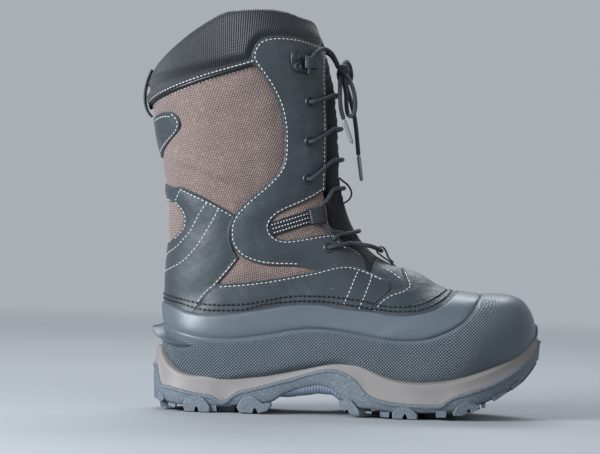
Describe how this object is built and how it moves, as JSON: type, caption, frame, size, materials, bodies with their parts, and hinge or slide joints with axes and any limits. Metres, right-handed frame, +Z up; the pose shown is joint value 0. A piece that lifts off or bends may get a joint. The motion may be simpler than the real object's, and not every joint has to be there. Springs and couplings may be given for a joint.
{
  "type": "insulated hunting boot",
  "caption": "Tall insulated winter boot with rubber lower shell, lugged sole, laced shaft, padded collar and tongue; right foot.",
  "frame": {"origin": "centre of the flat centre lug under the heel, on the ground plane", "axes": "+X towards the toe, +Y towards the inner (medial) side, +Z up the shaft"},
  "size_m": [0.3323, 0.1237, 0.3231],
  "materials": {
    "outsole_rubber": "matt speckled",
    "midsole_foam": "matt",
    "shank_steel": "brushed",
    "arch_plastic": "glossy ribbed",
    "shell_rubber": "satin, dot textured",
    "board": "matt",
    "stiffener": "matt",
    "insulation": "fibre batting",
    "lining": "brushed knit",
    "nylon": "twill weave",
    "leather": "waxed grain",
    "tongue_fabric": "ribbed knit",
    "collar_fabric": "ribbed knit",
    "webbing": "woven webbing",
    "dark_metal": "satin black",
    "lace": "braided",
    "aglet_plastic": "translucent",
    "footbed_foam": "felted foam"
  },
  "bodies": {
    "foot": {"outsole": "outsole_rubber", "midsole": "midsole_foam", "shank": "shank_steel", "arch_plate": "arch_plastic", "rubber_shell": "shell_rubber", "insole_board": "board", "heel_counter": "stiffener", "toe_puff": "stiffener", "insulation_foot": "insulation", "lining_foot": "lining", "nylon_foot": "nylon", "vamp_leather": "leather", "mudguard_lateral": "leather", "mudguard_medial": "leather", "heel_leather_foot": "leather", "ankle_leather_lateral": "leather", "ankle_leather_medial": "leather", "tongue_base": "tongue_fabric", "toe_lace_loop": "webbing", "eyelets_foot": "dark_metal", "lace_foot": "lace"},
    "footbed": {"footbed": "footbed_foam"},
    "shaft": {"nylon_shaft": "nylon", "insulation_shaft": "insulation", "lining_shaft": "lining", "collar": "collar_fabric", "eyestay_lateral": "leather", "eyestay_medial": "leather", "heel_leather_shaft": "leather", "back_patch": "leather", "eyelets_shaft": "dark_metal", "lace_hooks": "dark_metal", "hook_rivets": "dark_metal", "ankle_strap_lateral": "webbing", "ankle_strap_medial": "webbing", "gusset_lateral": "tongue_fabric", "gusset_medial": "tongue_fabric", "lace_shaft": "lace", "lace_knot": "lace", "pull_loop": "webbing"},
    "tongue": {"tongue": "tongue_fabric", "tongue_keeper": "webbing"},
    "bow_lateral": {"bow_loop_lateral": "lace"},
    "bow_medial": {"bow_loop_medial": "lace"},
    "end_lateral": {"lace_end_lateral": "lace", "aglet_lateral": "aglet_plastic"},
    "end_medial": {"lace_end_medial": "lace", "aglet_medial": "aglet_plastic"}
  },
  "joints": [
    {"name": "shaft_flex", "type": "hinge", "parent": "foot", "child": "shaft", "pos_m": [0.038, 0, 0.118], "axis": [0, 1, 0], "range_deg": [-5, 12]},
    {"name": "footbed_lift", "type": "slide", "parent": "foot", "child": "footbed", "axis": [0, 0, 1], "range_m": [0, 0.008]},
    {"name": "tongue_tip", "type": "hinge", "parent": "shaft", "child": "tongue", "pos_m": [0.104, 0, 0.176], "axis": [0, 1, 0], "range_deg": [-7, 0]},
    {"name": "bow_lateral_swing", "type": "hinge", "parent": "shaft", "child": "bow_lateral", "pos_m": [0.1086, 0, 0.2806], "axis": [1, 0, 0], "range_deg": [-20, 0]},
    {"name": "bow_medial_swing", "type": "hinge", "parent": "shaft", "child": "bow_medial", "pos_m": [0.1086, 0, 0.2806], "axis": [1, 0, 0], "range_deg": [0, 20]},
    {"name": "end_lateral_swing", "type": "hinge", "parent": "shaft", "child": "end_lateral", "pos_m": [0.1086, 0, 0.2806], "axis": [1, 0, 0], "range_deg": [-20, 0]},
    {"name": "end_medial_swing", "type": "hinge", "parent": "shaft", "child": "end_medial", "pos_m": [0.1086, 0, 0.2806], "axis": [1, 0, 0], "range_deg": [0, 20]}
  ]
}
